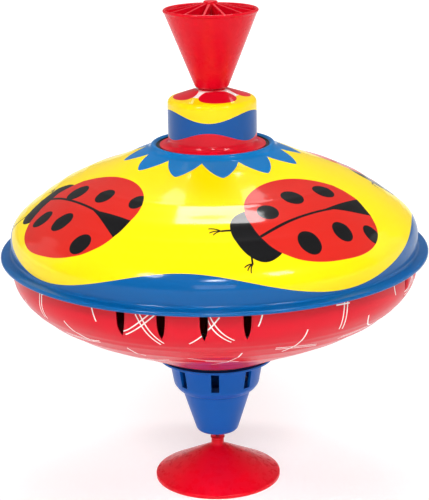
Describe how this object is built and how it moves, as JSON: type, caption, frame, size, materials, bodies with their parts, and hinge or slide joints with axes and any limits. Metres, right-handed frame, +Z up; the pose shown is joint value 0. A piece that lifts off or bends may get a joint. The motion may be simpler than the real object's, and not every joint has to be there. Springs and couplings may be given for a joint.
{
  "type": "spinning top",
  "caption": "Pump-handled humming spinning top: printed tin double shell with a rolled brim, slotted air cup and reeds, twisted drive rod, and a separate foot it spins and leans on.",
  "frame": {"origin": "centre of the foot's underside, on the surface the top stands on", "axes": "+Z up along the spin axis, -Y towards the viewer, +X to the viewer's right"},
  "size_m": [0.19, 0.19, 0.22],
  "materials": {
    "red_plastic": "glossy injection-moulded red plastic",
    "blue_plastic": "semi-gloss moulded blue plastic",
    "white_plastic": "plain natural acetal",
    "printed_tin_dome": "lithographed tin, yellow ground with red beetles and blue borders, glossy varnish",
    "printed_tin_red": "lithographed tin, red ground with fine white strokes, glossy varnish",
    "printed_tin_collar": "lithographed tin, yellow, blue and red bands, glossy varnish",
    "bare_tin": "bare tinplate",
    "steel": "zinc-plated steel",
    "brass": "rolled reed brass",
    "felt": "thin grey felt"
  },
  "bodies": {
    "foot": {"foot": "red_plastic"},
    "pivot": {"bearing_cup": "white_plastic"},
    "top": {"thrust_washer": "steel", "bearing_cap": "blue_plastic", "nose_cone": "blue_plastic", "air_cup": "blue_plastic", "nose_screws": "steel", "housing_gasket": "felt", "housing_screws": "steel", "reed_plate": "bare_tin", "reeds": "brass", "reed_rivets": "brass", "lower_shell": "printed_tin_red", "upper_shell": "printed_tin_dome", "neck_collar": "printed_tin_collar", "lock_ring": "bare_tin", "clutch_seat": "steel", "clutch_cover": "bare_tin", "collar_bush": "red_plastic", "guide_tube": "bare_tin", "tube_nut": "steel", "tube_washer": "steel"},
    "driver": {"driver_nut": "white_plastic"},
    "handle": {"knob": "red_plastic", "knob_pin": "steel", "spiral_rod": "steel", "rod_stop": "steel", "stop_pin": "steel"}
  },
  "joints": [
    {"name": "lean", "type": "hinge", "parent": "foot", "child": "pivot", "pos_m": [0, 0, 0.031], "axis": [1, 0, 0], "range_deg": [-5, 5]},
    {"name": "spin", "type": "hinge", "parent": "pivot", "child": "top", "pos_m": [0, 0, 0.031], "axis": [0, 0, 1], "continuous": true},
    {"name": "pump", "type": "slide", "parent": "top", "child": "handle", "axis": [0, 0, 1], "range_m": [0, 0.09]},
    {"name": "driver_turn", "type": "hinge", "parent": "top", "child": "driver", "pos_m": [0, 0, 0.16], "axis": [0, 0, 1], "range_deg": [-721, 0]}
  ],
  "couplings": [
    {"joint": "driver_turn", "follows": "pump", "rad_per_m": -139.63}
  ]
}
